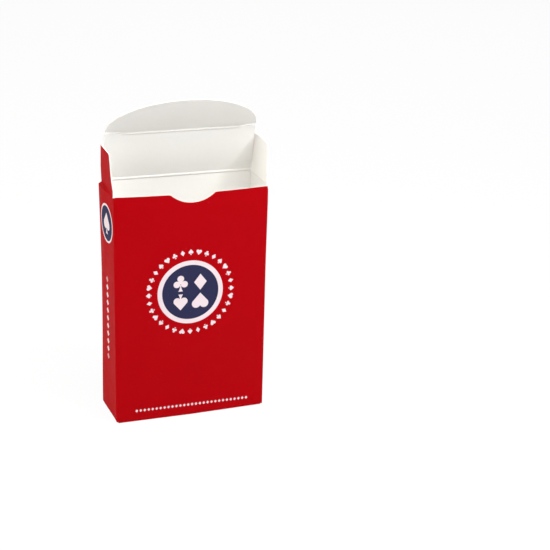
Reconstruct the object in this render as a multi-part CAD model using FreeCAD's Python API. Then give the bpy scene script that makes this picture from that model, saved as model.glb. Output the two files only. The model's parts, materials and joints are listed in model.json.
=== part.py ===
"""Playing card tuck box in folded paperboard, standing open.

Millimetres and degrees. X runs to the right as seen from the front, Y runs to the
back and Z runs up. The origin is the middle of the underside of the sleeve.
The real box is one die-cut blank. It is split here at its creases, so that every
panel, flap, fold and line of glue is a solid of its own.
"""
import FreeCAD, Part
import math
import os

os.makedirs("parts", exist_ok=True)

# Driving dimensions of the sleeve
sleeve_width = 60.0
sleeve_depth = 20.4
lid_crease_height = 93.2
board = 0.35
fold_radius = 0.5

# Working creases, where the board is pressed into a round bead that stands out inside
bead_height = 0.25
crease_foot = 0.15
hinge_gap = 0.05

# Front panel, which bows out at the open mouth. Its top edge dips towards the thumb notch,
# so that it stays clear under the tuck flap when the lid comes down
front_bow = 1.5
front_edge_dip = 0.3
notch_width = 17.4
notch_depth = 3.5

# Lid, with a slit at each end of the crease that carries the tuck flap
lid_lean = 14.0
slit_length = 6.5
slit_width = 0.35
slit_end_gap = 0.1
lid_corner_radius = 0.6

# Tuck flap
tuck_bend = 21.0
tuck_length = 17.2
tuck_shoulder = 0.3

# Dust flaps at the top
dust_height = 15.5
dust_front_setback = 1.0
dust_lock_setback = 0.7
dust_lock_height = 2.0
dust_knee_setback = 2.7
dust_knee_height = 6.3
dust_top_setback = 4.1
dust_lean = 2.0
left_dust_corner = 0.8
right_dust_corner = 3.0

# Glued seam inside the left side panel
side_edge_setback = 0.5
glue_film = 0.08
glue_flap_front_gap = 0.95
glue_flap_top_drop = 2.2
glue_flap_chamfer = 4.0
seam_glue_width = 11.0
seam_glue_end_gap = 6.0

# Glued bottom
bottom_outer_edge_gap = 0.3
bottom_inner_edge_gap = 0.6
bottom_side_gap = 0.35
bottom_flap_taper = 1.5
bottom_dust_length = 16.0
bottom_dust_taper = 2.0
bottom_glue_length = 46.0
bottom_glue_width = 3.0
bottom_glue_spacing = 9.0

# Clearances between pieces that pass or lie on each other
lid_side_clearance = 0.1
lid_stack_clearance = 0.1
tuck_front_clearance = 0.1
tuck_side_clearance = 0.25
dust_rear_clearance = 0.15
dust_lid_clearance = 0.15
front_edge_clearance = 0.5
stack_gap = 0.03

# Sizes worked out from the values above
half_width = sleeve_width / 2
half_depth = sleeve_depth / 2
bead_radius = (board + bead_height) / 2
crease_drop = bead_radius + crease_foot
plate_start = bead_radius + hinge_gap

lid_axis_y = half_depth - bead_radius
tuck_axis_y = -half_depth + board + tuck_front_clearance + bead_radius
lid_length = lid_axis_y - tuck_axis_y
lid_half_width = half_width - board - lid_side_clearance
tuck_half_width = half_width - board - tuck_side_clearance
tuck_crease_half = lid_half_width - slit_length

dust_axis_x = half_width - bead_radius
dust_crease_height = lid_crease_height - board - lid_stack_clearance
dust_rear_y = lid_axis_y - bead_radius - dust_rear_clearance
dust_front_y = -half_depth + dust_front_setback
side_top = dust_crease_height - crease_drop
back_top = lid_crease_height - crease_drop
front_top = dust_crease_height + bead_radius - board - front_edge_clearance

inner_flap_level = board + glue_film
bottom_dust_level = inner_flap_level + board + stack_gap
cavity_floor = bottom_dust_level + board
glue_flap_x = -half_width + board + glue_film
glue_flap_top = side_top - glue_flap_top_drop
glue_flap_front_y = -half_depth + board + glue_flap_front_gap

X = FreeCAD.Vector(1, 0, 0)
Y = FreeCAD.Vector(0, 1, 0)
Z = FreeCAD.Vector(0, 0, 1)


def prism(origin, right, up, outline, depth):
    """A plate whose outline lies in the plane of right and up, pushed along depth.

    Each entry of the outline is a corner (a, b), or (a, b, radius) to round it.
    """
    corners = [(entry[0], entry[1]) for entry in outline]
    radii = [entry[2] if len(entry) > 2 else 0.0 for entry in outline]
    edges = []
    starts = []
    ends = []
    for i, corner in enumerate(corners):
        before = corners[i - 1]
        after = corners[(i + 1) % len(corners)]
        start, middle, end = rounded_corner(before, corner, after, radii[i])
        starts.append(start)
        ends.append(end)
        if middle:
            arc = [origin + right * a + up * b for a, b in (start, middle, end)]
            edges.append((i, Part.Arc(*arc).toShape()))
    for i in range(len(corners)):
        following = (i + 1) % len(corners)
        a, b = ends[i]
        c, d = starts[following]
        line = Part.makeLine(origin + right * a + up * b, origin + right * c + up * d)
        edges.append((i + 0.5, line))
    edges.sort(key=lambda item: item[0])
    wire = Part.Wire([edge for _, edge in edges])
    return Part.Face(wire).extrude(depth)


def rounded_corner(before, corner, after, radius):
    """Where the arc of a rounded corner starts, passes and ends."""
    if radius <= 0:
        return corner, None, corner
    towards_before = direction(corner, before)
    towards_after = direction(corner, after)
    cosine = towards_before[0] * towards_after[0] + towards_before[1] * towards_after[1]
    half_angle = math.acos(cosine) / 2
    reach = radius / math.tan(half_angle)
    bisector = direction((0, 0), (towards_before[0] + towards_after[0],
                                  towards_before[1] + towards_after[1]))
    inset = radius / math.sin(half_angle) - radius
    start = (corner[0] + towards_before[0] * reach, corner[1] + towards_before[1] * reach)
    middle = (corner[0] + bisector[0] * inset, corner[1] + bisector[1] * inset)
    end = (corner[0] + towards_after[0] * reach, corner[1] + towards_after[1] * reach)
    return start, middle, end


def direction(start, end):
    """The unit vector from one point of an outline to another."""
    a = end[0] - start[0]
    b = end[1] - start[1]
    length = math.hypot(a, b)
    return a / length, b / length


def fold(corner, first, second, along):
    """The bent board between two panels that meet at a right angle.

    corner is where the outside faces of the two panels would meet. first and second
    point along the two panels, away from the corner.
    """
    def at(a, b):
        return corner + first * a + second * b

    inner_radius = fold_radius - board
    outer_middle = fold_radius * (1 - math.sqrt(0.5))
    inner_middle = fold_radius - inner_radius * math.sqrt(0.5)
    edges = [
        Part.Arc(at(fold_radius, 0), at(outer_middle, outer_middle), at(0, fold_radius)).toShape(),
        Part.makeLine(at(0, fold_radius), at(board, fold_radius)),
        Part.Arc(at(board, fold_radius), at(inner_middle, inner_middle), at(fold_radius, board)).toShape(),
        Part.makeLine(at(fold_radius, board), at(fold_radius, 0)),
    ]
    return Part.Face(Part.Wire(edges)).extrude(along)


def crease_bead(start, outwards, up, along):
    """The round bead of a working crease, on the flat foot that joins it to its panel.

    start is a point on the axis that the flap turns about.
    """
    inner_face = bead_radius - board
    meeting = -math.sqrt(bead_radius ** 2 - inner_face ** 2)
    sweep = math.pi - math.atan2(meeting, -inner_face)

    def at(a, b):
        return start + outwards * a + up * b

    def on_bead(angle):
        return at(bead_radius * math.cos(angle), bead_radius * math.sin(angle))

    edges = [
        Part.Arc(on_bead(0), on_bead(sweep / 2), on_bead(sweep)).toShape(),
        Part.makeLine(on_bead(sweep), at(inner_face, -crease_drop)),
        Part.makeLine(at(inner_face, -crease_drop), at(bead_radius, -crease_drop)),
        Part.makeLine(at(bead_radius, -crease_drop), on_bead(0)),
    ]
    return Part.Face(Part.Wire(edges)).extrude(along)


def front_panel():
    """Front of the sleeve: flat at the base, bowed out at the mouth, with the thumb notch."""
    foot = front_section(0, fold_radius)
    mouth = front_section(front_bow, front_top)
    panel = Part.makeLoft([foot, mouth], True, True)
    dip = edge_cutter(sleeve_width, front_edge_dip, front_top)
    notch = edge_cutter(notch_width, notch_depth, front_top - front_edge_dip)
    return panel.cut(dip).cut(notch)


def front_section(bow, height):
    """The front panel cut level at a height, where its middle stands out by the bow."""
    half = half_width - fold_radius

    def face_line(y):
        left = FreeCAD.Vector(-half, y, height)
        right = FreeCAD.Vector(half, y, height)
        if bow == 0:
            return Part.makeLine(left, right)
        return Part.Arc(left, FreeCAD.Vector(0, y - bow, height), right).toShape()

    outside = face_line(-half_depth)
    inside = face_line(-half_depth + board)
    left_end = Part.makeLine(outside.Vertexes[0].Point, inside.Vertexes[0].Point)
    right_end = Part.makeLine(inside.Vertexes[1].Point, outside.Vertexes[1].Point)
    return Part.Wire([left_end, inside, right_end, outside])


def edge_cutter(width, depth, height):
    """A round bar through the front panel, which cuts an arc of that width and depth."""
    radius = (width ** 2 / 4 + depth ** 2) / (2 * depth)
    reach = front_bow + board
    start = FreeCAD.Vector(0, -half_depth - 2 * reach, height - depth + radius)
    return Part.makeCylinder(radius, 4 * reach, start, Y)


def back_panel():
    """Back of the sleeve, from the glue flap's fold to the right side's fold."""
    left = glue_flap_x + fold_radius
    bottom = inner_flap_level + fold_radius
    return Part.makeBox(half_width - fold_radius - left, board, back_top - bottom,
                        FreeCAD.Vector(left, half_depth - board, bottom))


def side_panel(side):
    """Side of the sleeve. The left one ends in a raw edge at the back, over the glue flap."""
    rear = half_depth - (fold_radius if side > 0 else side_edge_setback)
    front = -half_depth + fold_radius
    bottom = bottom_dust_level + fold_radius
    left = half_width - board if side > 0 else -half_width
    return Part.makeBox(board, rear - front, side_top - bottom,
                        FreeCAD.Vector(left, front, bottom))


def glue_flap():
    """Flap from the back panel that is glued inside the left side panel."""
    rear = half_depth - fold_radius
    bottom = cavity_floor + fold_radius
    outline = [
        (rear, bottom),
        (rear, glue_flap_top),
        (glue_flap_front_y + glue_flap_chamfer, glue_flap_top),
        (glue_flap_front_y, glue_flap_top - glue_flap_chamfer),
        (glue_flap_front_y, bottom + glue_flap_chamfer),
        (glue_flap_front_y + glue_flap_chamfer, bottom),
    ]
    return prism(FreeCAD.Vector(glue_flap_x, 0, 0), Y, Z, outline, X * board)


def side_seam_glue():
    """Line of glue between the glue flap and the left side panel."""
    middle = (glue_flap_front_y + half_depth - fold_radius) / 2
    bottom = cavity_floor + seam_glue_end_gap
    top = glue_flap_top - seam_glue_end_gap
    return Part.makeBox(glue_film, seam_glue_width, top - bottom,
                        FreeCAD.Vector(glue_flap_x - glue_film, middle - seam_glue_width / 2, bottom))


def upright_fold(side, facing, bottom, top, corner_x):
    """Vertical fold of the sleeve. side and facing are -1 or 1, along X and Y."""
    corner = FreeCAD.Vector(corner_x, facing * half_depth, bottom)
    return fold(corner, X * -side, Y * -facing, Z * (top - bottom))


def lid_panel():
    """Lid, built upright over the back panel. Its corners run on past the tuck crease."""
    tab_top = lid_length + bead_radius
    tab_inner = tuck_crease_half + slit_end_gap
    crease_line = lid_length - crease_drop
    right = [
        (tuck_crease_half, crease_line),
        (tab_inner, crease_line),
        (tab_inner, tab_top),
        (lid_half_width, tab_top, lid_corner_radius),
        (lid_half_width, plate_start),
    ]
    left = [(-entry[0], *entry[1:]) for entry in reversed(right)]
    origin = FreeCAD.Vector(0, half_depth - board, lid_crease_height)
    return prism(origin, X, Z, right + left, Y * board)


def tuck_flap():
    """Tuck flap, built upright over the lid: straight shoulders under half an ellipse."""
    shoulder = bead_radius + slit_width
    spring = shoulder + tuck_shoulder
    inner = tuck_crease_half - slit_end_gap
    origin = FreeCAD.Vector(0, half_depth - board, lid_crease_height + lid_length)

    def at(a, b):
        return origin + X * a + Z * b

    corners = [
        (-tuck_half_width, spring),
        (-tuck_half_width, shoulder),
        (-inner, shoulder),
        (-inner, plate_start),
        (inner, plate_start),
        (inner, shoulder),
        (tuck_half_width, shoulder),
        (tuck_half_width, spring),
    ]
    edges = [Part.makeLine(at(*a), at(*b)) for a, b in zip(corners, corners[1:])]
    ellipse = Part.Ellipse(at(tuck_half_width, spring), at(0, tuck_length), at(0, spring))
    edges.append(Part.ArcOfEllipse(ellipse, 0, math.pi).toShape())
    return Part.Face(Part.Wire(edges)).extrude(Y * board)


def lid_inside_y(height):
    """Where the inside face of the leaning lid is, at a height above the base."""
    lean = math.radians(lid_lean)
    inside = lid_axis_y + (bead_radius - board) / math.cos(lean)
    return inside - (height - lid_crease_height) * math.tan(lean)


def dust_flap(side, corner_radius):
    """Dust flap, built upright on its side panel, with its locking edge to the front.

    Its rear edge is cut back, so that it folds in under the leaning lid.
    """
    front = -half_depth
    rear_top = lid_inside_y(dust_crease_height + dust_height) - dust_lid_clearance
    outline = [
        (dust_front_y, plate_start),
        (front + dust_lock_setback, dust_lock_height),
        (front + dust_knee_setback, dust_knee_height),
        (front + dust_top_setback, dust_height, corner_radius),
        (rear_top, dust_height),
        (dust_rear_y, plate_start),
    ]
    outer = side * half_width
    return prism(FreeCAD.Vector(outer, 0, dust_crease_height), Y, Z, outline, X * (-side * board))


def bottom_flap(level, hinge_side, edge_gap):
    """Full bottom flap. hinge_side is -1 on the front panel and 1 on the back panel."""
    hinge = hinge_side * (half_depth - fold_radius)
    edge = -hinge_side * (half_depth - edge_gap)
    half = half_width - bottom_side_gap
    outline = [
        (-half + fold_radius, hinge),
        (half - fold_radius, hinge),
        (half - bottom_flap_taper, edge, bottom_flap_taper),
        (-half + bottom_flap_taper, edge, bottom_flap_taper),
    ]
    return prism(FreeCAD.Vector(0, 0, level), X, Y, outline, Z * board)


def bottom_dust_flap(side):
    """Short bottom flap from a side panel, lying on the inner bottom flap."""
    hinge = side * (half_width - fold_radius)
    edge = side * (half_width - bottom_dust_length)
    half = half_depth - board - bottom_side_gap
    outline = [
        (hinge, -half),
        (hinge, half),
        (edge, half - bottom_dust_taper, bottom_dust_taper),
        (edge, -half + bottom_dust_taper, bottom_dust_taper),
    ]
    return prism(FreeCAD.Vector(0, 0, bottom_dust_level), X, Y, outline, Z * board)


def bottom_glue():
    """Two lines of glue between the inner and the outer bottom flap."""
    lines = []
    for side in (-1, 1):
        corner = FreeCAD.Vector(-bottom_glue_length / 2,
                                side * bottom_glue_spacing / 2 - bottom_glue_width / 2, board)
        lines.append(Part.makeBox(bottom_glue_length, bottom_glue_width, glue_film, corner))
    return Part.makeCompound(lines)


def lying_fold(facing, level):
    """Fold between a wide panel and its bottom flap."""
    half = half_width - bottom_side_gap - fold_radius
    corner = FreeCAD.Vector(-half, facing * half_depth, level)
    return fold(corner, Y * -facing, Z, X * (2 * half))


def side_lying_fold(side):
    """Fold between a side panel and its short bottom flap."""
    half = half_depth - board - bottom_side_gap
    corner = FreeCAD.Vector(side * half_width, -half, bottom_dust_level)
    return fold(corner, X * -side, Z, Y * (2 * half))


def turned(shape, point, axis, angle):
    """A copy of the shape, turned about an axis through the point."""
    copy = shape.copy()
    copy.rotate(point, axis, angle)
    return copy


lid_axis = FreeCAD.Vector(0, lid_axis_y, lid_crease_height)
tuck_axis_upright = FreeCAD.Vector(0, lid_axis_y, lid_crease_height + lid_length)


def with_lid(shape):
    """Leans a piece that was built upright as far as the lid leans."""
    return turned(shape, lid_axis, X, lid_lean)


lid_bead = crease_bead(FreeCAD.Vector(-lid_half_width, lid_axis_y, lid_crease_height),
                       Y, Z, X * (2 * lid_half_width))
tuck_bead = crease_bead(FreeCAD.Vector(-tuck_crease_half, lid_axis_y, lid_crease_height + lid_length),
                        Y, Z, X * (2 * tuck_crease_half))
dust_length = dust_rear_y - dust_front_y
tuck = turned(tuck_flap(), tuck_axis_upright, X, tuck_bend)

nodes = {
    "front_panel": front_panel(),
    "back_panel": back_panel(),
    "left_side_panel": side_panel(-1),
    "right_side_panel": side_panel(1),
    "glue_flap": glue_flap(),
    "side_seam_glue": side_seam_glue(),
    "front_left_fold": upright_fold(-1, -1, fold_radius, front_top, -half_width),
    "front_right_fold": upright_fold(1, -1, fold_radius, front_top, half_width),
    "rear_right_fold": upright_fold(1, 1, bottom_dust_level + fold_radius, side_top, half_width),
    "rear_left_fold": upright_fold(-1, 1, cavity_floor + fold_radius, glue_flap_top, glue_flap_x),
    "bottom_front_fold": lying_fold(-1, 0),
    "bottom_rear_fold": lying_fold(1, inner_flap_level),
    "bottom_left_fold": side_lying_fold(-1),
    "bottom_right_fold": side_lying_fold(1),
    "bottom_outer_flap": bottom_flap(0, -1, bottom_outer_edge_gap),
    "bottom_inner_flap": bottom_flap(inner_flap_level, 1, bottom_inner_edge_gap + board),
    "bottom_left_dust_flap": bottom_dust_flap(-1),
    "bottom_right_dust_flap": bottom_dust_flap(1),
    "bottom_glue": bottom_glue(),
    "lid_crease": lid_bead,
    "lid_panel": with_lid(lid_panel()),
    "tuck_crease": with_lid(tuck_bead),
    "tuck_flap": with_lid(tuck),
}

for name, side, corner_radius in (
    ("left", -1, left_dust_corner),
    ("right", 1, right_dust_corner),
):
    axis_point = FreeCAD.Vector(side * dust_axis_x, dust_front_y, dust_crease_height)
    flap = dust_flap(side, corner_radius)
    nodes[name + "_dust_crease"] = crease_bead(axis_point, X * side, Z, Y * dust_length)
    nodes[name + "_dust_flap"] = turned(flap, axis_point, Y, side * dust_lean)

for name, shape in nodes.items():
    box = shape.BoundBox
    print(f"{name:24s} {shape.isValid()} solids {len(shape.Solids)} volume {shape.Volume:9.3f}"
          f" x {box.XMin:7.2f} {box.XMax:7.2f} y {box.YMin:7.2f} {box.YMax:7.2f}"
          f" z {box.ZMin:7.2f} {box.ZMax:7.2f}")
    shape.exportStep(f"parts/{name}.step")

tuck_axis = turned(Part.Vertex(tuck_axis_upright), lid_axis, X, lid_lean).Point
print("lid hinge", lid_axis_y, lid_crease_height)
print("tuck hinge", round(tuck_axis.y, 4), round(tuck_axis.z, 4))
print("dust hinges", dust_axis_x, dust_crease_height)
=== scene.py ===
"""Looks of the playing card tuck box: folded paperboard, red outside and white inside.

Lengths are in metres. X runs to the right as seen from the front, Y to the back, Z up.
Each piece is a sheet of board, drawn flat in its own (u, v) plane, given the board's
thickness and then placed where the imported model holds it.
"""
import bmesh
import bpy
import json
import math
from mathutils import Matrix, Vector


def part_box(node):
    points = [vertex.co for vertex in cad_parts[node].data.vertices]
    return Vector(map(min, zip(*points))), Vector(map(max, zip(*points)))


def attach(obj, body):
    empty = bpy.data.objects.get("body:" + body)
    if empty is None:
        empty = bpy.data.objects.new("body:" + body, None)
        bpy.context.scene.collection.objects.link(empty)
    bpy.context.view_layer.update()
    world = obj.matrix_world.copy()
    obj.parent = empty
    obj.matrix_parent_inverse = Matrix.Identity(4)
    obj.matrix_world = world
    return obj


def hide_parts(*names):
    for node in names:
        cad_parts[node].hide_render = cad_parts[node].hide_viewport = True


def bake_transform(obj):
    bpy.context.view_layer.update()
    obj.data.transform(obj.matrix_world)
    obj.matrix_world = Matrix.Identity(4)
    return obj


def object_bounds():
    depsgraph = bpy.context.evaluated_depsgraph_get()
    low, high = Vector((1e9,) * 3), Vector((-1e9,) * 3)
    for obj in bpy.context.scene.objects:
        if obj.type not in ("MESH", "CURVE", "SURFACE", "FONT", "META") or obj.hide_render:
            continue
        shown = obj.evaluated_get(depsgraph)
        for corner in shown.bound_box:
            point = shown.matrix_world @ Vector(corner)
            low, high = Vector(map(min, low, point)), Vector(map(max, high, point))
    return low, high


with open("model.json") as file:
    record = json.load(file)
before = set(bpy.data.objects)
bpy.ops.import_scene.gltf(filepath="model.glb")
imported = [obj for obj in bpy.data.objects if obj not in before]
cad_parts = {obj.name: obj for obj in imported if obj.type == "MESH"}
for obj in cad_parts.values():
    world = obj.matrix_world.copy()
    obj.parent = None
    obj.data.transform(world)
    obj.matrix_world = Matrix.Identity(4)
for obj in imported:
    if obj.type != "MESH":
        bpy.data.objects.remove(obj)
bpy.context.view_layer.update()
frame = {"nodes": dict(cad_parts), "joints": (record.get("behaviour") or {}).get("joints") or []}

mm = 0.001
X = Vector((1, 0, 0))
Y = Vector((0, 1, 0))
Z = Vector((0, 0, 1))
origin = Vector((0, 0, 0))

# Points closer than this are one
weld_distance = 1e-7

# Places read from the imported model
joint_at = {joint["name"]: Vector(joint["pos_m"]) for joint in frame["joints"]}
lid_axis = joint_at["lid_fold"]
tuck_axis = joint_at["tuck_fold"]
dust_axis = joint_at["right_dust_fold"]
front_low, front_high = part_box("front_panel")
back_low, back_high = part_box("back_panel")
right_low, right_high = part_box("right_side_panel")
left_low, left_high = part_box("left_side_panel")
seam_low, seam_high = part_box("glue_flap")
tuck_crease_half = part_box("tuck_crease")[1].x
tuck_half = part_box("tuck_flap")[1].x
dust_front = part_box("right_dust_crease")[0].y
dust_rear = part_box("right_dust_crease")[1].y

# Sizes that follow from them
half_width = right_high.x
half_depth = back_high.y
board = back_high.y - back_low.y
fold_radius = half_width - front_high.x
front_top = front_high.z
lid_reach = (tuck_axis - lid_axis).length
lid_lean = math.atan2(lid_axis.y - tuck_axis.y, tuck_axis.z - lid_axis.z)

# The lid is a hair wider than the part's
lid_widening = 0.02 * mm
lid_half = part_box("lid_crease")[1].x + lid_widening

# Shapes of the walls and flaps, as the part has them
front_bow = 1.5 * mm
tuck_bend = math.radians(21)
dust_lean = math.radians(2)
notch_half = 8.7 * mm
notch_depth = 3.5 * mm
tuck_length = 17.2 * mm
dust_height = 15.5 * mm

# The front's top edge stands higher than the part's at its ends and dips between them
front_rise = 0.2 * mm
front_dip = 0.2 * mm

# Working creases: a soft bead inside and a shallow groove outside
crease_reach = 0.75 * mm
bead_height = 0.28 * mm
dust_bead_height = 0.05 * mm
groove_depth = 0.07 * mm

# Raw edges, rounded a little by the die, and the bend from which an edge looks sharp
edge_round = 0.04 * mm
sharp_bend = math.radians(35)

# Wear of an opened box: side walls bowed at the mouth, a seam come loose, dented bottom
# corners, the left rear edge flared and the right front corner lifted at the base
side_bow = 0.6 * mm
seam_flare = 1.1 * mm
bow_start = 0.27
bow_growth = 1.5
dent_reach = 1.3 * mm
base_flare = 0.77 * mm
base_flare_height = 70 * mm
base_lift = 0.6 * mm
base_lift_height = 30 * mm
mouth_spread = 0.25 * mm
mouth_spread_depth = 36 * mm


def smooth(t):
    """Runs gently from 0 to 1."""
    t = min(max(t, 0.0), 1.0)
    return t * t * (3 - 2 * t)


def steps(start, end, count):
    """Evenly spaced values from start to end."""
    return [start + (end - start) * i / count for i in range(count + 1)]


def joined(*runs):
    """Several runs of values as one rising list, with shared ends kept once."""
    values = []
    for run in runs:
        values += [value for value in run if not values or value > values[-1] + weld_distance]
    return values


def mirrored(values):
    """The same values on the other side of 0, rising again."""
    return [-value for value in reversed(values)]


def corner_steps(radius, count=6):
    """Distances from the end of an outline at which its rounded corner gets points."""
    return [radius * (1 - math.cos(angle)) for angle in steps(0, math.pi / 2, count)]


def corner_cut(radius, off):
    """How far a rounded corner draws the outline in, at the distance off from its end."""
    into = max(radius - off, 0.0)
    return radius - math.sqrt(max(radius ** 2 - into ** 2, 0.0))


def columns(us, bottom, top, rows):
    """A patch whose columns stand at us and run from bottom(u) to top(u)."""
    return [[(u, bottom(u) + (top(u) - bottom(u)) * t) for u in us] for t in rows]


def lines(vs, left, right, across):
    """A patch whose rows lie at vs and run from left(v) to right(v)."""
    return [[(left(v) + (right(v) - left(v)) * t, v) for t in across] for v in vs]


def flat_sheet(patches):
    """The patches of a piece as one flat mesh, joined where they meet."""
    sheet = bmesh.new()
    for patch in patches:
        grid = [[sheet.verts.new((u, v, 0)) for u, v in row] for row in patch]
        for low, high in zip(grid, grid[1:]):
            for i in range(len(low) - 1):
                sheet.faces.new((low[i], low[i + 1], high[i + 1], high[i]))
    bmesh.ops.remove_doubles(sheet, verts=sheet.verts, dist=weld_distance)
    return sheet


def outward(vert):
    """Unit direction in the flat plane from a point on the sheet's outline to the outside."""
    total = Vector((0, 0, 0))
    for edge in vert.link_edges:
        if len(edge.link_loops) == 1:
            loop = edge.link_loops[0]
            along = (loop.link_loop_next.vert.co - loop.vert.co).normalized()
            total += Vector((along.y, -along.x, 0))
    return total.normalized()


def strained(point):
    """The point where use has pushed the walls: out on both sides, and up on the right."""
    front_share = smooth(0.5 - point.y / (2 * half_depth))
    lift = 0.0
    if point.x > 0:
        below = dust_axis.z - crease_reach - point.z
        spread = mouth_spread * smooth(1 - below / mouth_spread_depth)
        push = front_share * spread * smooth(below / (2 * crease_reach))
        lift = base_lift * front_share * smooth(1 - point.z / base_lift_height)
    else:
        push = (1 - front_share) * base_flare * smooth(1 - point.z / base_flare_height)
    share = point.x / half_width
    return point + Vector((share * push, 0, share * lift))


def dented(point):
    """The point, drawn in where the bottom corners are rounded."""
    inner = Vector((half_width - dent_reach, half_depth - dent_reach, -dent_reach))
    off = Vector((abs(point.x), abs(point.y), -point.z)) - inner
    least = min(off)
    if least <= 0:
        return point
    at = inner + off * (1 - smooth(least / dent_reach) * (1 - max(off) / off.length))
    return Vector((math.copysign(at.x, point.x), math.copysign(at.y, point.y), -at.z))


def board_piece(name, patches, place, finishes):
    """A closed sheet of board, with finishes for its outside, its inside and its raw edge.

    place(u, v, depth) puts a point of the flat sheet in space. The depth runs from 0 on the
    outside face to 1 on the inside face.
    """
    sheet = flat_sheet(patches)
    mesh = bmesh.new()
    depths = (0.0, 0.3, 0.7, 1.0)
    layers = {}
    for vert in sheet.verts:
        on_rim = any(len(edge.link_faces) == 1 for edge in vert.link_edges)
        push = outward(vert) * edge_round if on_rim else None
        for depth in depths if on_rim else (0.0, 1.0):
            at = vert.co + push if 0 < depth < 1 else vert.co
            layers[vert, depth] = mesh.verts.new(dented(strained(place(at.x, at.y, depth))))
    outside_face, inside_face, rim_face = range(3)
    for face in sheet.faces:
        outer = [layers[vert, 0.0] for vert in face.verts]
        inner = [layers[vert, 1.0] for vert in reversed(face.verts)]
        mesh.faces.new(outer).material_index = outside_face
        mesh.faces.new(inner).material_index = inside_face
    for edge in sheet.edges:
        if len(edge.link_loops) == 1:
            a = edge.link_loops[0].vert
            b = edge.link_loops[0].link_loop_next.vert
            for d, e in zip(depths, depths[1:]):
                rim = (layers[b, d], layers[a, d], layers[a, e], layers[b, e])
                mesh.faces.new(rim).material_index = rim_face
    bmesh.ops.recalc_face_normals(mesh, faces=mesh.faces)
    for face in mesh.faces:
        face.smooth = True
    data = bpy.data.meshes.new(name)
    mesh.to_mesh(data)
    data.set_sharp_from_angle(angle=sharp_bend)
    for finish in finishes:
        data.materials.append(finish)
    piece = bpy.data.objects.new(name, data)
    bpy.context.scene.collection.objects.link(piece)
    sheet.free()
    mesh.free()
    return piece


def turn(point, centre, axis, angle):
    """The point, turned about an axis through the centre."""
    return Matrix.Rotation(angle, 3, axis) @ (point - centre) + centre


# Shader maths

class Value:
    """An output of a shader node. Arithmetic on it adds Math nodes to its graph."""

    def __init__(self, graph, socket):
        self.graph = graph
        self.socket = socket

    def math(self, operation, *terms, clamp=False):
        settings = {"operation": operation, "use_clamp": clamp}
        return self.graph.node("ShaderNodeMath", settings, dict(enumerate(terms)))

    def __add__(self, other):
        return self.math("ADD", self, other)

    def __sub__(self, other):
        return self.math("SUBTRACT", self, other)

    def __rsub__(self, other):
        return self.math("SUBTRACT", other, self)

    def __mul__(self, other):
        return self.math("MULTIPLY", self, other)

    def __truediv__(self, other):
        return self.math("DIVIDE", self, other)

    def __pow__(self, other):
        return self.math("POWER", self, other)

    def __mod__(self, other):
        return self.math("FLOORED_MODULO", self, other)

    def __abs__(self):
        return self.math("ABSOLUTE", self)

    def __neg__(self):
        return 0 - self

    __radd__ = __add__
    __rmul__ = __mul__

    def least(self, other):
        return self.math("MINIMUM", self, other)

    def most(self, other):
        return self.math("MAXIMUM", self, other)

    def above(self, other):
        return self.math("GREATER_THAN", self, other)

    def equals(self, other):
        return self.math("COMPARE", self, other, 0.5)

    def nearest(self):
        return self.math("ROUND", self)

    def clamped(self):
        return self.math("ADD", self, 0.0, clamp=True)


class Graph:
    """The shader nodes of something under construction."""

    def __init__(self, owner):
        owner.use_nodes = True
        self.tree = owner.node_tree

    def node(self, kind, settings=None, sockets=None, out=0):
        """Adds a node, sets it up, then fills its sockets with numbers or with values.

        out picks the output that is returned. A list of names returns several.
        """
        node = self.tree.nodes.new(kind)
        for name, setting in (settings or {}).items():
            if name == "stops":
                ramp = node.color_ramp
                while len(ramp.elements) < len(setting):
                    ramp.elements.new(1.0)
                for element, (position, shade) in zip(ramp.elements, setting):
                    element.position = position
                    element.color = (shade, shade, shade, 1)
            else:
                setattr(node, name, setting)
        for name, value in (sockets or {}).items():
            if isinstance(value, Value):
                self.tree.links.new(value.socket, node.inputs[name])
            else:
                node.inputs[name].default_value = value
        if isinstance(out, list):
            return [Value(self, node.outputs[name]) for name in out]
        return Value(self, node.outputs[out]) if node.outputs else None


class Finish(Graph):
    """A material under construction, with a Principled shader."""

    def __init__(self, name):
        self.material = bpy.data.materials.new(name)
        super().__init__(self.material)
        self.shader = self.tree.nodes["Principled BSDF"]
        place = self.node("ShaderNodeTexCoord", out="Object")
        self.place = self.node("ShaderNodeVectorMath", {"operation": "SCALE"},
                               {"Vector": place, "Scale": 1 / mm})
        self.x, self.y, self.z = self.node("ShaderNodeSeparateXYZ", sockets={0: self.place},
                                           out=["X", "Y", "Z"])

    def mix(self, factor, first, second):
        """Colour between first and second. The node's colours are its sockets 6, 7 and 2."""
        sockets = {0: factor, 6: first, 7: second}
        return self.node("ShaderNodeMix", {"data_type": "RGBA"}, sockets, out=2)

    def noise(self, per_mm, detail=2.0, stretch=(1, 1, 1)):
        """Even cloudy noise from 0 to 1, with that many clouds to the millimetre."""
        place = self.node("ShaderNodeVectorMath", {"operation": "MULTIPLY"},
                          {0: self.place, 1: stretch})
        return self.node("ShaderNodeTexNoise",
                         sockets={"Vector": place, "Scale": per_mm, "Detail": detail})

    def ramp(self, value, *stops):
        """Grey level along stops, each of them a place and a shade from 0 to 1."""
        return self.node("ShaderNodeValToRGB", {"stops": stops}, {0: value})

    def bump(self, height, depth):
        """Surface relief. The height runs from 0 to 1, and the depth is in metres."""
        return self.node("ShaderNodeBump", sockets={"Height": height, "Distance": depth})

    def surface(self, color, roughness, normal, specular):
        """Sets the shader. specular is one number for the whole surface."""
        for name, value in (("Base Color", color), ("Roughness", roughness), ("Normal", normal)):
            self.tree.links.new(value.socket, self.shader.inputs[name])
        self.shader.inputs["Specular IOR Level"].default_value = specular
        return self.material


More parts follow.
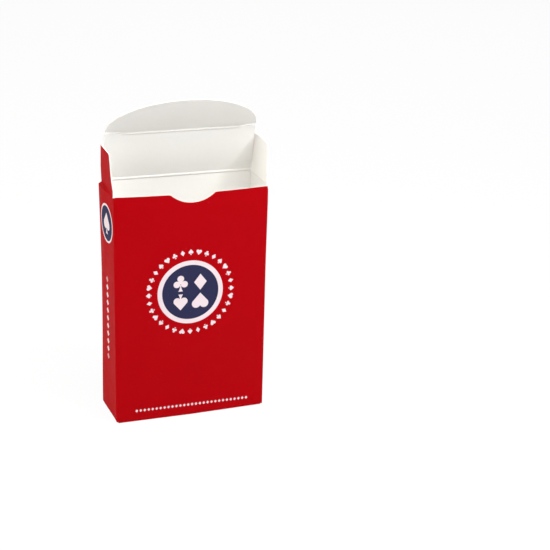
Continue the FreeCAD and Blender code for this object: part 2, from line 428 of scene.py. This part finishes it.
def rgb(red, green, blue):
    """An sRGB colour of 0 to 255 as the shader's linear one."""
    def linear(level):
        level /= 255
        return level / 12.92 if level <= 0.04045 else ((level + 0.055) / 1.055) ** 2.4
    return linear(red), linear(green), linear(blue), 1


# Inks, boards and glue
red_ink = rgb(173, 2, 12)
deep_red_ink = rgb(165, 1, 10)
blue_ink = rgb(46, 47, 78)
pale_ink = rgb(230, 216, 221)
inside_white = rgb(248, 247, 244)
inside_cream = rgb(244, 242, 237)
edge_white = rgb(252, 247, 243)
edge_grey = rgb(240, 232, 226)
glue_amber = rgb(232, 222, 196)
glue_pale = rgb(244, 238, 220)


def inked(distance, softness=0.07):
    """1 inside a printed shape and 0 outside it. The distance is in millimetres."""
    return (0.5 - distance / softness).clamped()


# Card suits, each one unit high about its middle. Negative inside, positive outside.

def length(a, b):
    return (a * a + b * b) ** 0.5


def rhomb(a, b, half_width_share, height=1):
    """A rhomb of that height, with its half width as a share of it."""
    half_height_share = 0.5
    steepness = 0.3
    return (abs(a) / half_width_share + abs(b) / half_height_share - height) * steepness


def diamond(a, b):
    return rhomb(a, b, half_width_share=0.38)


def heart(a, b):
    """Two round lobes on straight flanks that meet in the point."""
    side = abs(a)
    lobe_radius = 0.265
    lobe = length(side - 0.235, b - 0.17) - lobe_radius
    flank_across, flank_up = 0.752, 0.659
    flank = side * flank_across - (b + 0.5) * flank_up
    flank_top = 0.06
    return lobe.least(flank.most(b - flank_top))


def stem(side, b):
    """A foot that gets wider downwards in a curve."""
    flare = b + 0.16
    half_neck = 0.035
    return (side - flare * flare * 0.9 - half_neck).most(abs(b + 0.3) - 0.2)


def spade(a, b):
    """A heart on its head, with a stem."""
    leaf_size = 0.84
    leaf_middle = 0.08
    leaf = heart(a / leaf_size, (leaf_middle - b) / leaf_size) * leaf_size
    return leaf.least(stem(abs(a), b))


def club(a, b):
    """Three round leaves about a small middle, with a stem."""
    side = abs(a)
    leaf_radius = 0.2
    middle_radius = 0.12
    lower = length(side - 0.225, b + 0.06) - leaf_radius
    upper = length(side, b - 0.28) - leaf_radius
    middle = length(side, b - 0.06) - middle_radius
    return lower.least(upper).least(middle).least(stem(side, b))


suit_shapes = (spade, heart, club, diamond)


def suit_mark(a, b, size, which):
    """A suit of that height in millimetres. which picks it: 0 to 3."""
    a = a / size
    b = b / size
    total = 0
    for number, shape in enumerate(suit_shapes):
        total = shape(a, b) * which.equals(number) + total
    return inked(total * size)


def wreath(a, b, radius, count, size):
    """A ring of suits, one after the other, with their tops outwards."""
    turn_angle = a.math("ARCTAN2", a, b)
    place = turn_angle * (count / math.tau)
    number = place.nearest()
    off = (place - number) * (math.tau / count)
    reach = length(a, b)
    return suit_mark(reach * off.math("SINE", off), reach * off.math("COSINE", off) - radius,
                     size, number % 4)


def lozenge_line(a, b, pitch, count, height):
    """A row of small lozenges along a, centred on 0."""
    number = (a / pitch).nearest()
    near = a - number * pitch
    beyond = abs(number) - (count / 2)
    return inked(rhomb(near, b, half_width_share=0.42, height=height).most(beyond))


# Print, in millimetres on the panel that carries it
disc_radius = 11.15
ring_radius = 12.95
disc_height = 52.5
front_disc_shift = 0.6
disc_suit_size = 6.6
disc_suit_spread = 3.9
wreath_radius = 16.4
wreath_count = 32
wreath_size = 2.2
base_line_height = 4.5
base_line_shift = 1.2
base_line = {"pitch": 1.6, "count": 29, "height": 1.3}
side_disc_height = 79.6
side_disc_shift = 1.0
side_ring_radius = 7.6
side_disc_radius = 6.8
side_suit_size = 8.4
side_line_height = 40.5
side_line_shift = 1.5
side_line = {"pitch": 3.2, "count": 10, "height": 3.0}


def red_board(name, marks=None):
    """Matt red print on the board. marks adds the pale and the blue ink of a panel."""
    finish = Finish(name)
    cloud = finish.noise(per_mm=0.06, detail=3.0)
    grain = finish.noise(per_mm=3.5)
    tone = (cloud * 0.6 + grain * 0.4).clamped()
    color = finish.mix(tone, deep_red_ink, red_ink)
    if marks:
        blue, pale = marks(finish)
        color = finish.mix(blue, color, blue_ink)
        color = finish.mix(pale, color, pale_ink)
    fibre = finish.noise(per_mm=1.6, detail=4.0)
    pinhole = finish.ramp(finish.noise(per_mm=4.0, detail=1.0), (0.79, 0.0), (0.84, 0.35))
    color = finish.mix(pinhole, color, edge_white)
    rubbed = finish.noise(per_mm=0.25, detail=4.0)
    roughness = rubbed * 0.16 + 0.46
    return finish.surface(color, roughness, finish.bump(fibre, 0.01 * mm), specular=0.03)


def panel_marks(a, height):
    """Blue and pale marks of a wide panel: a disc of suits in a ring, and a wreath about it."""
    b = height - disc_height
    reach = length(a, b)
    ring = inked(reach - ring_radius)
    disc = inked(reach - disc_radius)
    which = a.above(0) + b.above(0) * 2
    inner = suit_mark(abs(a) - disc_suit_spread, abs(b) - disc_suit_spread, disc_suit_size, which)
    outer = wreath(a, b, wreath_radius, wreath_count, wreath_size)
    return disc, (ring - disc).most(inner * disc).most(outer)


def front_marks(finish):
    """The panel's marks, with a line at the base."""
    a = finish.x + front_disc_shift
    blue, pale = panel_marks(a, finish.z)
    return blue, pale.most(lozenge_line(a - base_line_shift, finish.z - base_line_height, **base_line))


def back_marks(finish):
    return panel_marks(-finish.x, finish.z)


def side_marks(finish):
    """A disc with a spade in a ring, and a line up the side."""
    a = finish.y + side_disc_shift
    b = finish.z - side_disc_height
    reach = length(a, b)
    ring = inked(reach - side_ring_radius)
    disc = inked(reach - side_disc_radius)
    mark = inked(spade(a / side_suit_size, b / side_suit_size) * side_suit_size)
    line = lozenge_line(finish.z - side_line_height, a - side_line_shift, **side_line)
    return disc, (ring - disc).most(mark * disc).most(line)


def white_board(name):
    """Bare inside face of the board, with faint fibres."""
    finish = Finish(name)
    cloud = finish.noise(per_mm=0.08, detail=3.0)
    fibre = finish.noise(per_mm=2.2, detail=4.0, stretch=(1, 1, 0.35))
    color = finish.mix((cloud * 0.7 + fibre * 0.3).clamped(), inside_cream, inside_white)
    roughness = fibre * 0.15 + 0.62
    return finish.surface(color, roughness, finish.bump(fibre, 0.012 * mm), specular=0.15)


def raw_edge(name):
    """Cut edge of the board, where its plies show."""
    finish = Finish(name)
    fibre = finish.noise(per_mm=5.0, detail=4.0)
    color = finish.mix(finish.ramp(fibre, (0.35, 0.0), (0.7, 1.0)), edge_grey, edge_white)
    roughness = fibre * 0.1 + 0.8
    return finish.surface(color, roughness, finish.bump(fibre, 0.04 * mm), specular=0.05)


def dried_glue(name):
    """Carton glue, dried to a dull film."""
    finish = Finish(name)
    streak = finish.noise(per_mm=0.9, detail=3.0)
    color = finish.mix(streak, glue_amber, glue_pale)
    roughness = streak * 0.2 + 0.35
    return finish.surface(color, roughness, finish.bump(streak, 0.05 * mm), specular=0.4)


plain_red = red_board("red_print")
front_print = red_board("front_print", front_marks)
back_print = red_board("back_print", back_marks)
side_print = red_board("side_print", side_marks)
inside_board = white_board("inside_board")
cut_edge = raw_edge("raw_edge")
glue = dried_glue("dried_glue")


# Sleeve walls

def finish_piece(piece, slot, *nodes, body="sleeve"):
    """The piece stands for the nodes and moves with the body."""
    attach(piece, body)
    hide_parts(*nodes)


def wall_rows(count):
    """Shares of a wall's height, closer together where its foot is rounded."""
    foot = 0.015
    return joined(steps(0, foot, 6), steps(foot, 1, count))


def front_wall():
    """Front of the sleeve, bowed out at the mouth, with the thumb notch in its top edge."""
    notch_radius = (notch_half ** 2 + notch_depth ** 2) / (2 * notch_depth)
    notch_centre = front_top + front_rise - front_dip - notch_depth + notch_radius
    corner = 0.35 * mm
    corner_room = 1.5 * mm
    half = front_high.x

    def top(u):
        """Height of the top edge: the rim or the notch's arc, with a small corner between."""
        rim = front_top + front_rise - front_dip * (1 - (u / half_width) ** 2)
        if abs(u) >= notch_radius:
            return rim
        arc = notch_centre - math.sqrt(notch_radius ** 2 - u * u)
        gap = arc - rim
        well_below = -4 * corner
        return arc if gap < well_below else rim - (math.sqrt(gap * gap + corner ** 2) - gap) / 2

    def place(u, v, depth):
        across = 1 - (u / half) ** 2
        up = min((v - front_low.z) / (front_top - front_low.z), 1.0)
        return Vector((u, -half_depth - front_bow * across * up + depth * board, v))

    right = joined(steps(0, notch_half - corner_room, 12),
                   steps(notch_half - corner_room, notch_half + corner_room, 14),
                   steps(notch_half + corner_room, half - dent_reach, 18),
                   steps(half - dent_reach, half, 5))
    us = joined(mirrored(right), right)
    patch = columns(us, lambda u: front_low.z, top, wall_rows(46))
    return board_piece("front_wall", [patch], place, (front_print, inside_board, cut_edge))


def flat_wall(name, us, foot, top, place, finishes):
    """A wall with level edges."""
    patch = columns(us, lambda u: foot, lambda u: top, wall_rows(24))
    return board_piece(name, [patch], place, finishes)


def back_wall():
    """Back of the sleeve, up to the lid's crease."""
    def place(u, v, depth):
        return Vector((u, half_depth - depth * board, v))

    return flat_wall("back_wall", steps(back_low.x, back_high.x, 30), back_low.z,
                     lid_axis.z - crease_reach, place, (back_print, inside_board, cut_edge))


def stand_out(side, y, z):
    """How far a side wall stands out there. The left one has come loose from its seam."""
    height = min(max(z / dust_axis.z - bow_start, 0.0) / (1 - bow_start), 1.0)
    bow = side_bow * (1 - (y / right_high.y) ** 2)
    loose_from = -half_depth / 2
    loose_share = smooth((y - loose_from) / (half_depth - loose_from))
    loose = seam_flare * loose_share if side < 0 else 0.0
    return (bow + loose) * height ** bow_growth


def side_wall(name, side, low, high):
    """Side of the sleeve, up to its dust flap's crease."""
    def place(u, v, depth):
        return Vector((side * (half_width - depth * board + stand_out(side, u, v)), u, v))

    return flat_wall(name, steps(low.y, high.y, 16), low.z, dust_axis.z - crease_reach, place,
                     (side_print, inside_board, cut_edge))


def bent(name, node, corner, first, second, along, finishes, cap=0.0):
    """A fold at a right angle. first and second point from the corner along the two panels.

    cap is the angle of the rounded end that closes it below.
    """
    low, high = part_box(node)
    reach = abs((high - low).dot(along))

    def place(u, v, depth):
        radius = fold_radius - depth * board
        start = corner + first * fold_radius + second * fold_radius
        below = max(-v / fold_radius, 0.0)
        out = radius * math.cos(below)
        up = along * (max(v, 0.0) - radius * math.sin(below))
        return start - first * (out * math.sin(u)) - second * (out * math.cos(u)) + up

    vs = joined([-fold_radius * angle for angle in steps(cap, 0, 6)] if cap else [],
                steps(0, dent_reach, 5), steps(dent_reach, reach - dent_reach, 20),
                steps(reach - dent_reach, reach, 5))
    patch = lines(vs, lambda v: 0.0, lambda v: math.pi / 2, steps(0, 1, 12))
    return board_piece(name, [patch], place, finishes)


red_sheet = (plain_red, inside_board, cut_edge)
white_sheet = (inside_board, inside_board, cut_edge)

finish_piece(front_wall(), "printed_board", "front_panel")
finish_piece(back_wall(), "printed_board", "back_panel")
finish_piece(side_wall("left_wall", -1, left_low, left_high), "printed_board", "left_side_panel")
finish_piece(side_wall("right_wall", 1, right_low, right_high), "printed_board", "right_side_panel")

rounded_end = math.radians(80)
for name, node, side, facing, cap in (
        ("left_front_corner", "front_left_fold", -1, -1, rounded_end),
        ("right_front_corner", "front_right_fold", 1, -1, rounded_end),
        ("right_rear_corner", "rear_right_fold", 1, 1, 0.0),
        ("left_rear_corner", "rear_left_fold", -1, 1, 0.0)):
    low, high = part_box(node)
    corner = Vector((high.x if side > 0 else low.x, facing * half_depth, low.z))
    piece = bent(name, node, corner, X * -side, Y * -facing, Z, red_sheet, cap)
    finish_piece(piece, "printed_board", node)

for name, node, corner_y, facing in (
        ("front_base_corner", "bottom_front_fold", -half_depth, -1),
        ("rear_base_corner", "bottom_rear_fold", half_depth, 1)):
    low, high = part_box(node)
    piece = bent(name, node, Vector((low.x, corner_y, low.z)), Y * -facing, Z, X, red_sheet)
    finish_piece(piece, "printed_board", node)

for name, node, side in (
        ("left_base_corner", "bottom_left_fold", -1),
        ("right_base_corner", "bottom_right_fold", 1)):
    low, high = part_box(node)
    piece = bent(name, node, Vector((side * half_width, low.y, low.z)), X * -side, Z, Y, red_sheet)
    finish_piece(piece, "printed_board", node)


def seam_flap():
    """Flap inside the left wall, with cut corners."""
    chamfer = 4.0 * mm

    def front(v):
        near = min(v - seam_low.z, seam_high.z - v)
        return seam_low.y + max(chamfer - near, 0.0)

    def place(u, v, depth):
        return Vector((seam_low.x + depth * board, u, v))

    vs = joined(steps(seam_low.z, seam_low.z + chamfer, 4),
                steps(seam_low.z + chamfer, seam_high.z - chamfer, 20),
                steps(seam_high.z - chamfer, seam_high.z, 4))
    patch = lines(vs, front, lambda v: seam_high.y, steps(0, 1, 12))
    return board_piece("seam_flap", [patch], place, white_sheet)


finish_piece(seam_flap(), "plain_board", "glue_flap")


def bottom_sheet(name, node, hinge_side, finishes):
    """A full bottom flap, with rounded corners on its free edge."""
    low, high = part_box(node)
    corner = 1.5 * mm

    def half(v):
        off = high.y - v if hinge_side < 0 else v - low.y
        return high.x - corner_cut(corner, off)

    def place(u, v, depth):
        return Vector((u, v, low.z + depth * board))

    ends = corner_steps(corner)
    vs = joined([low.y + end for end in ends], steps(low.y + corner, high.y - corner, 10),
                [high.y - end for end in reversed(ends)])
    patch = lines(vs, lambda v: -half(v), half, steps(0, 1, 24))
    return board_piece(name, [patch], place, finishes)


finish_piece(bottom_sheet("outer_base", "bottom_outer_flap", -1, red_sheet),
             "printed_board", "bottom_outer_flap")
finish_piece(bottom_sheet("inner_base", "bottom_inner_flap", 1, white_sheet),
             "plain_board", "bottom_inner_flap")


def short_base(name, node, side):
    """A short bottom flap from a side wall, with rounded corners at its tip."""
    low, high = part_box(node)
    corner = 2.0 * mm
    tip = min(abs(low.x), abs(high.x))
    root = max(abs(low.x), abs(high.x))

    def half(u):
        return high.y - corner_cut(corner, abs(u) - tip)

    def place(u, v, depth):
        return Vector((u, v, low.z + depth * board))

    reach = joined([tip + step for step in corner_steps(corner)], steps(tip + corner, root, 8))
    us = reach if side > 0 else mirrored(reach)
    patch = columns(us, lambda u: -half(u), half, steps(0, 1, 12))
    return board_piece(name, [patch], place, white_sheet)


finish_piece(short_base("left_base_flap", "bottom_left_dust_flap", -1),
             "plain_board", "bottom_left_dust_flap")
finish_piece(short_base("right_base_flap", "bottom_right_dust_flap", 1),
             "plain_board", "bottom_right_dust_flap")


# Lid and tuck flap, drawn upright over the back wall and then leaned

upright_tuck_axis = Vector((0, lid_axis.y, lid_axis.z + lid_reach))


def lean_lid(point):
    """The point, leaned with the lid."""
    return turn(point, lid_axis, "X", lid_lean)


def lean_tuck(point, share=1.0):
    """The point, leaned with the lid and bent further with the tuck flap."""
    return lean_lid(turn(point, upright_tuck_axis, "X", tuck_bend * share))


def upright(u, v, depth):
    """A point of the blank above the lid's crease, before anything leans."""
    return Vector((u, half_depth - depth * board, lid_axis.z + v))


def crease_depth(v, depth, bead):
    """Depth from the outside face across a working crease, with its narrow groove and its bead."""
    near = (1 + math.cos(math.pi * min(abs(v) / crease_reach, 1.0))) / 2
    return depth * (board + bead * near) + (1 - depth) * groove_depth * near ** 3


def lid_sheet():
    """Lid up to its front crease, with a tab beyond each end of that crease."""
    tab_rise = 0.3 * mm
    crease_room = 0.03 * mm
    corner = 0.7 * mm
    tab_inner = tuck_crease_half + crease_room
    crease_line = lid_reach - crease_reach

    def tab_edge(u):
        return lid_reach + tab_rise - corner_cut(corner, lid_half - abs(u))

    tab = joined(steps(tab_inner, lid_half - corner, 6),
                 [lid_half - step for step in reversed(corner_steps(corner))])
    middle = steps(-tuck_crease_half, tuck_crease_half, 40)
    us = joined(mirrored(tab), middle, tab)
    main = columns(us, lambda u: crease_reach, lambda u: crease_line, steps(0, 1, 16))
    right_tab = columns(tab, lambda u: crease_line, tab_edge, steps(0, 1, 4))
    left_tab = columns(mirrored(tab), lambda u: crease_line, tab_edge, steps(0, 1, 4))

    def place(u, v, depth):
        return lean_lid(upright(u, v, depth))

    return board_piece("lid_sheet", [main, right_tab, left_tab], place, red_sheet)


def tuck_sheet():
    """Tuck flap: an arc on a straight edge that runs off the crease at both ends."""
    ear_rise = 0.9 * mm
    ear_height = 0.25 * mm
    arc_foot = crease_reach + ear_rise + ear_height

    def bottom(u):
        beyond = max(abs(u) - tuck_crease_half, 0.0)
        return crease_reach + ear_rise * beyond / (tuck_half - tuck_crease_half)

    def top(u):
        return arc_foot + (tuck_length - arc_foot) * math.sqrt(max(1 - (u / tuck_half) ** 2, 0.0))

    def place(u, v, depth):
        return lean_tuck(upright(u, lid_reach + v, depth))

    us = [tuck_half * math.sin(a) for a in steps(-math.pi / 2, math.pi / 2, 72)]
    patch = columns(us, bottom, top, steps(0, 1, 16))
    return board_piece("tuck_sheet", [patch], place, red_sheet)


def crease_patch(start, end, count):
    """The strip across a working crease, which bends."""
    return columns(steps(start, end, count), lambda u: -crease_reach, lambda u: crease_reach,
                   steps(0, 1, 16))


def bend_share(v):
    """How much of its bend a working crease has reached there, from 0 to 1."""
    return smooth((v + crease_reach) / (2 * crease_reach))


def lid_hinge():
    """Crease between the back wall and the lid."""
    def place(u, v, depth):
        point = upright(u, v, crease_depth(v, depth, bead_height) / board)
        return turn(point, lid_axis, "X", lid_lean * bend_share(v))

    return board_piece("lid_hinge", [crease_patch(-lid_half, lid_half, 40)], place, red_sheet)


def tuck_hinge():
    """Crease between the lid and the tuck flap. Its bead runs out at both ends."""
    def place(u, v, depth):
        bead = bead_height * smooth((tuck_crease_half - abs(u)) / (2 * crease_reach))
        point = upright(u, lid_reach + v, crease_depth(v, depth, bead) / board)
        return lean_tuck(point, bend_share(v))

    patch = crease_patch(-tuck_crease_half, tuck_crease_half, 32)
    return board_piece("tuck_hinge", [patch], place, red_sheet)


finish_piece(lid_sheet(), "printed_board", "lid_panel", body="lid")
finish_piece(tuck_sheet(), "printed_board", "tuck_flap", body="tuck")


def blend_piece(piece, node, axis, before, after):
    """A crease piece, baked in place at rest, standing for its part's node. before and after point
    away from the axis; the points along them are worked out and not used.
    """
    tuple(axis + before * crease_reach)
    tuple(axis + after * crease_reach)
    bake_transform(piece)
    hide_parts(node)


up_lid = turn(Z, origin, "X", lid_lean)
up_tuck = turn(Z, origin, "X", lid_lean + tuck_bend)
blend_piece(lid_hinge(), "lid_crease", lid_axis, -Z, up_lid)
blend_piece(tuck_hinge(), "tuck_crease", tuck_axis, -up_lid, up_tuck)


# Dust flaps, drawn upright over the side walls and then leaned outwards

def dust_point(side, u, v, depth):
    """A point of the blank above a dust flap's crease, with the depth as a length."""
    return Vector((side * (half_width - depth), u, dust_axis.z + v))


def lean_dust(side, point, share=1.0):
    """The point, leaned outwards with the dust flap of that side."""
    centre = Vector((side * dust_axis.x, 0, dust_axis.z))
    return turn(point, centre, "Y", side * dust_lean * share)


def along_outline(points, v):
    """Place at the height v on an outline given by its corners."""
    for (v0, y0), (v1, y1) in zip(points, points[1:]):
        if v <= v1:
            break
    return y0 + (y1 - y0) * (v - v0) / (v1 - v0)


def dust_sheet(name, side, top, corner, knee_setback, top_setback):
    """A dust flap, with its height, the radius of its front corner, and its front's setbacks."""
    lock_height = 2.0 * mm
    lock_setback = 0.7 * mm
    knee_height = 6.3 * mm
    rear_overhang = 0.08 * mm
    rear_top_setback = 1.9 * mm
    front_outline = ((0.0, dust_front), (lock_height, -half_depth + lock_setback),
                     (knee_height, -half_depth + knee_setback), (top, -half_depth + top_setback))
    rear_outline = ((0.0, dust_rear), (knee_height, dust_rear + rear_overhang),
                    (top, dust_rear - rear_top_setback))

    def front(v):
        return along_outline(front_outline, v) + corner_cut(corner, top - v)

    def rear(v):
        return along_outline(rear_outline, v)

    def place(u, v, depth):
        return lean_dust(side, dust_point(side, u, v, depth * board))

    vs = joined(steps(crease_reach, lock_height, 3), steps(lock_height, knee_height, 5),
                steps(knee_height, top - corner, 8),
                [top - step for step in reversed(corner_steps(corner, 8))])
    patch = lines(vs, front, rear, steps(0, 1, 16))
    return board_piece(name, [patch], place, red_sheet)


def dust_hinge(name, side):
    """Crease of a dust flap. It starts on the bowed wall and ends on the straight flap."""
    straight_from = 0.75
    fade = 1.5

    def place(u, v, depth):
        point = dust_point(side, u, v, crease_depth(v, depth, dust_bead_height))
        share = bend_share(v)
        still_out = max(1 - share / straight_from, 0.0) ** fade
        point.x += side * stand_out(side, u, dust_axis.z - crease_reach) * still_out
        return lean_dust(side, point, share)

    return board_piece(name, [crease_patch(dust_front, dust_rear, 16)], place, red_sheet)


for side, word, top, corner, knee_setback, top_setback in (
        (-1, "left", dust_height - 0.5 * mm, 0.8 * mm, 2.7 * mm, 4.1 * mm),
        (1, "right", dust_height + 0.3 * mm, 3.0 * mm, 1.2 * mm, 1.7 * mm)):
    body = word + "_dust"
    sheet = dust_sheet(body + "_sheet", side, top, corner, knee_setback, top_setback)
    finish_piece(sheet, "printed_board", body + "_flap", body=body)
    up_dust = turn(Z, origin, "Y", side * dust_lean)
    blend_piece(dust_hinge(body + "_hinge", side), body + "_crease",
                Vector((side * dust_axis.x, 0, dust_axis.z)), -Z, up_dust)

# The glue is shown by the part's own solids
for node in ("side_seam_glue", "bottom_glue"):
    frame["nodes"][node].data.materials.clear()
    frame["nodes"][node].data.materials.append(glue)


# Camera, as it stood for the photograph
camera_lens = 94.572
camera_sensor = 36
camera_azimuth = math.radians(-19.749)
camera_elevation = math.radians(20.888)
camera_roll = math.radians(1.666)
camera_distance = 0.574528
camera_target = Vector((0.037482, 0, 0.051617))


def aim(azimuth, elevation):
    """Direction from the object towards a place at that azimuth and elevation."""
    return Vector((math.sin(azimuth) * math.cos(elevation), -math.cos(azimuth) * math.cos(elevation),
                   math.sin(elevation)))


def put_camera():
    """The camera, aimed at its target and rolled about its view."""
    back = aim(camera_azimuth, camera_elevation)
    right = (-back).cross(Z).normalized()
    up = right.cross(-back)
    rolled_right = right * math.cos(camera_roll) + up * math.sin(camera_roll)
    rolled_up = up * math.cos(camera_roll) - right * math.sin(camera_roll)
    turned = Matrix((rolled_right, rolled_up, back)).transposed().to_4x4()
    data = bpy.data.cameras.new("camera")
    data.sensor_width = camera_sensor
    data.lens = camera_lens
    camera = bpy.data.objects.new("camera", data)
    camera.matrix_world = Matrix.Translation(camera_target + back * camera_distance) @ turned
    bpy.context.scene.collection.objects.link(camera)
    bpy.context.scene.camera = camera


put_camera()


# Floor, lamps and sky

white = (1, 1, 1, 1)
floor_grey = (0.8, 0.8, 0.8, 1)
floor_glow = 1.03
floor_glow_share = 0.9
floor_half_size = 4.0
floor_gap = 0.02 * mm
sky_light = 0.18
lamp_target = Vector((0, 0, 50 * mm))


def floor_finish():
    """Pale floor: white to the camera apart from the object's shadow, and a matt grey to light."""
    material = bpy.data.materials.new("floor")
    graph = Graph(material)
    graph.tree.nodes.clear()
    matt = graph.node("ShaderNodeBsdfDiffuse", sockets={"Color": floor_grey})
    glow = graph.node("ShaderNodeEmission", sockets={"Color": white, "Strength": floor_glow})
    seen = graph.node("ShaderNodeLightPath", out="Is Camera Ray")
    mixed = graph.node("ShaderNodeMixShader", sockets={0: seen * floor_glow_share, 1: matt, 2: glow})
    graph.node("ShaderNodeOutputMaterial", sockets={"Surface": mixed})
    return material


def put_floor():
    """A wide floor just below the box."""
    mesh = bmesh.new()
    bmesh.ops.create_grid(mesh, x_segments=8, y_segments=8, size=floor_half_size)
    data = bpy.data.meshes.new("floor")
    mesh.to_mesh(data)
    mesh.free()
    data.materials.append(floor_finish())
    floor = bpy.data.objects.new("floor", data)
    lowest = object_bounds()[0]
    floor.location.z = lowest[2] - floor_gap
    bpy.context.scene.collection.objects.link(floor)


def put_lamp(name, azimuth, elevation, distance, size, power, color=(1, 1, 1)):
    """A square lamp that faces the object. The angles are in degrees."""
    data = bpy.data.lights.new(name, "AREA")
    data.shape = "SQUARE"
    data.size = size
    data.energy = power
    data.color = color
    lamp = bpy.data.objects.new(name, data)
    back = aim(math.radians(azimuth), math.radians(elevation))
    lamp.matrix_world = back.to_track_quat("Z", "Y").to_matrix().to_4x4()
    lamp.location = lamp_target + back * distance
    bpy.context.scene.collection.objects.link(lamp)


def put_sky():
    """White sky to the camera and in gloss, and a dim one to everything else."""
    world = bpy.data.worlds.new("studio")
    bpy.context.scene.world = world
    graph = Graph(world)
    camera, gloss, through = graph.node("ShaderNodeLightPath",
                                        out=["Is Camera Ray", "Is Glossy Ray", "Is Transmission Ray"])
    seen = (camera + gloss + through).clamped()
    full_light = 1.0
    strength = graph.node("ShaderNodeMix", sockets={0: seen, 2: sky_light, 3: full_light})
    sky = graph.tree.nodes["Background"]
    sky.inputs["Color"].default_value = white
    graph.tree.links.new(strength.socket, sky.inputs["Strength"])


put_floor()
put_sky()
put_lamp("front_lamp", azimuth=20, elevation=59, distance=0.42, size=0.3, power=1.43)
put_lamp("key_lamp", azimuth=48, elevation=49, distance=0.38, size=0.05, power=0.48,
         color=(0.98, 0.99, 1.0))
put_lamp("left_lamp", azimuth=-84, elevation=30, distance=1.0, size=0.6, power=6.8,
         color=(1.0, 0.96, 0.9))
put_lamp("right_lamp", azimuth=60, elevation=20, distance=1.0, size=0.6, power=0.8)
put_lamp("back_lamp", azimuth=150, elevation=40, distance=1.0, size=0.8, power=2.4)

bpy.context.scene.view_settings.view_transform = "Standard"
